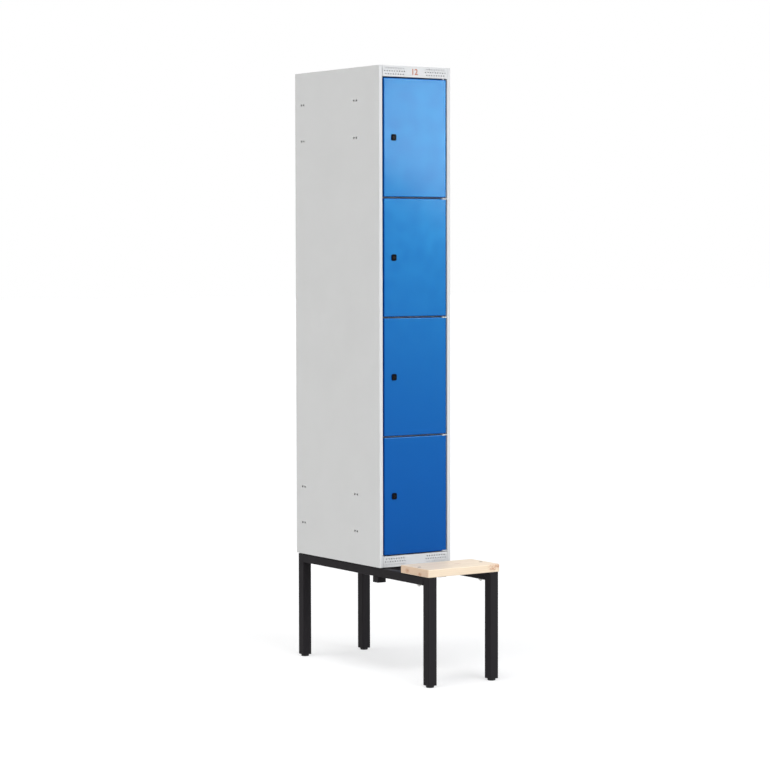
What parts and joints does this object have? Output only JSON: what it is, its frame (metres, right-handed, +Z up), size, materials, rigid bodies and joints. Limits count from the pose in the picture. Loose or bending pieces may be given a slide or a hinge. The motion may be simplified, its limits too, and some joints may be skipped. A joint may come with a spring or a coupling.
{
  "type": "locker with bench",
  "caption": "Narrow sheet-steel locker with stacked compartments and hinged doors with cylinder locks, on a square-tube frame that carries a wooden bench in front.",
  "frame": {"origin": "on the floor, under the middle of the outer box of locker and bench", "axes": "+Z up, -Y the way the doors and the bench face, +X to the right as seen from the front"},
  "size_m": [0.3, 0.845, 2.12],
  "materials": {
    "body_grey": "light grey powder coat, satin",
    "door_blue": "mid blue powder coat, satin gloss",
    "frame_black": "black powder coat, fine texture",
    "lock_black": "black, satin",
    "foot_black": "black moulded plastic",
    "black_rubber": "black rubber",
    "zinc": "bright zinc plate",
    "dark_zinc": "black zinc plate",
    "bench_wood": "pale softwood under clear satin lacquer"
  },
  "bodies": {
    "frame": {"side_panel_left": "body_grey", "side_panel_right": "body_grey", "back_panel": "body_grey", "roof_panel": "body_grey", "floor_panel": "body_grey", "shelf_1": "body_grey", "shelf_2": "body_grey", "shelf_3": "body_grey", "header_band": "body_grey", "plinth_band": "body_grey", "hinge_lug_1": "body_grey", "hinge_lug_2": "body_grey", "hinge_lug_3": "body_grey", "hinge_lug_4": "body_grey", "hinge_pin_top": "zinc", "leg_front_left": "frame_black", "leg_front_right": "frame_black", "leg_rear_left": "frame_black", "leg_rear_right": "frame_black", "rail_left": "frame_black", "rail_right": "frame_black", "crossbar_front": "frame_black", "crossbar_rear": "frame_black", "stub_left": "frame_black", "stub_right": "frame_black", "rubber_strip_left": "black_rubber", "rubber_strip_right": "black_rubber", "locker_bolt_1": "zinc", "locker_bolt_2": "zinc", "locker_bolt_3": "zinc", "locker_bolt_4": "zinc", "bench_board": "bench_wood", "bench_bolt_left": "dark_zinc", "bench_bolt_right": "dark_zinc", "bench_nut_left": "zinc", "bench_nut_right": "zinc"},
    "door_1_leaf": {"door_1": "door_blue", "door_1_channel": "door_blue", "lock_1_case": "lock_black"},
    "door_2_leaf": {"door_2": "door_blue", "door_2_channel": "door_blue", "lock_2_case": "lock_black"},
    "door_3_leaf": {"door_3": "door_blue", "door_3_channel": "door_blue", "lock_3_case": "lock_black"},
    "door_4_leaf": {"door_4": "door_blue", "door_4_channel": "door_blue", "lock_4_case": "lock_black"},
    "lock_1_key_side": {"lock_1_plug": "dark_zinc", "lock_1_cam": "zinc"},
    "lock_2_key_side": {"lock_2_plug": "dark_zinc", "lock_2_cam": "zinc"},
    "lock_3_key_side": {"lock_3_plug": "dark_zinc", "lock_3_cam": "zinc"},
    "lock_4_key_side": {"lock_4_plug": "dark_zinc", "lock_4_cam": "zinc"},
    "foot_fl": {"foot_front_left": "foot_black"},
    "foot_fr": {"foot_front_right": "foot_black"},
    "foot_rl": {"foot_rear_left": "foot_black"},
    "foot_rr": {"foot_rear_right": "foot_black"}
  },
  "joints": [
    {"name": "door_1_hinge", "type": "hinge", "parent": "frame", "child": "door_1_leaf", "pos_m": [0.123, -0.1195, 1.8725], "axis": [0, 0, 1], "range_deg": [0, 110]},
    {"name": "door_2_hinge", "type": "hinge", "parent": "frame", "child": "door_2_leaf", "pos_m": [0.123, -0.1195, 1.4575], "axis": [0, 0, 1], "range_deg": [0, 110]},
    {"name": "door_3_hinge", "type": "hinge", "parent": "frame", "child": "door_3_leaf", "pos_m": [0.123, -0.1195, 1.0425], "axis": [0, 0, 1], "range_deg": [0, 110]},
    {"name": "door_4_hinge", "type": "hinge", "parent": "frame", "child": "door_4_leaf", "pos_m": [0.123, -0.1195, 0.6275], "axis": [0, 0, 1], "range_deg": [0, 110]},
    {"name": "lock_1_turn", "type": "hinge", "parent": "door_1_leaf", "child": "lock_1_key_side", "pos_m": [-0.09, -0.1092, 1.8725], "axis": [0, 1, 0], "range_deg": [0, 90]},
    {"name": "lock_2_turn", "type": "hinge", "parent": "door_2_leaf", "child": "lock_2_key_side", "pos_m": [-0.09, -0.1092, 1.4575], "axis": [0, 1, 0], "range_deg": [0, 90]},
    {"name": "lock_3_turn", "type": "hinge", "parent": "door_3_leaf", "child": "lock_3_key_side", "pos_m": [-0.09, -0.1092, 1.0425], "axis": [0, 1, 0], "range_deg": [0, 90]},
    {"name": "lock_4_turn", "type": "hinge", "parent": "door_4_leaf", "child": "lock_4_key_side", "pos_m": [-0.09, -0.1092, 0.6275], "axis": [0, 1, 0], "range_deg": [0, 90]},
    {"name": "foot_fl_height", "type": "slide", "parent": "frame", "child": "foot_fl", "axis": [0, 0, 1], "range_m": [-0.01, 0]},
    {"name": "foot_fr_height", "type": "slide", "parent": "frame", "child": "foot_fr", "axis": [0, 0, 1], "range_m": [-0.01, 0]},
    {"name": "foot_rl_height", "type": "slide", "parent": "frame", "child": "foot_rl", "axis": [0, 0, 1], "range_m": [-0.01, 0]},
    {"name": "foot_rr_height", "type": "slide", "parent": "frame", "child": "foot_rr", "axis": [0, 0, 1], "range_m": [-0.01, 0]}
  ]
}
